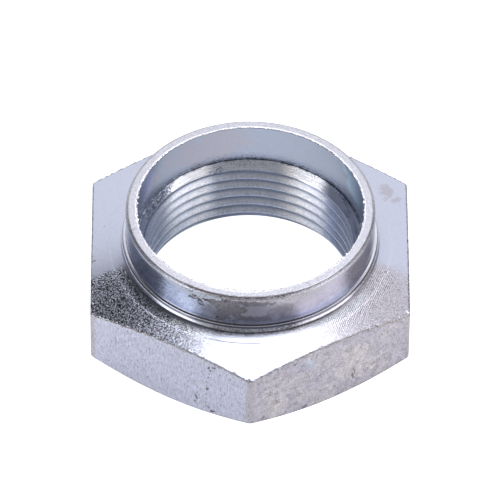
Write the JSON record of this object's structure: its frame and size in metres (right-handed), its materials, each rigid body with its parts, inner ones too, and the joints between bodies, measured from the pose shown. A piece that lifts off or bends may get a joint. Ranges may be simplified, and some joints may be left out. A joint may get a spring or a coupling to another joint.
{
  "type": "wheel bearing nut",
  "caption": "Zinc-plated hexagon nut with a fine thread and a thin round collar that is staked into the axle's groove.",
  "frame": {"origin": "on the thread's axis, in the plane of the bearing face", "axes": "+Z along the thread towards the collar's rim, +X square to a spanner flat, +Y through a corner of the hexagon"},
  "size_m": [0.052, 0.0598, 0.022],
  "materials": {
    "zinc_plated_steel": "bright zinc plating over turned and drawn steel"
  },
  "bodies": {
    "root": {"nut": "zinc_plated_steel"}
  },
  "joints": []
}
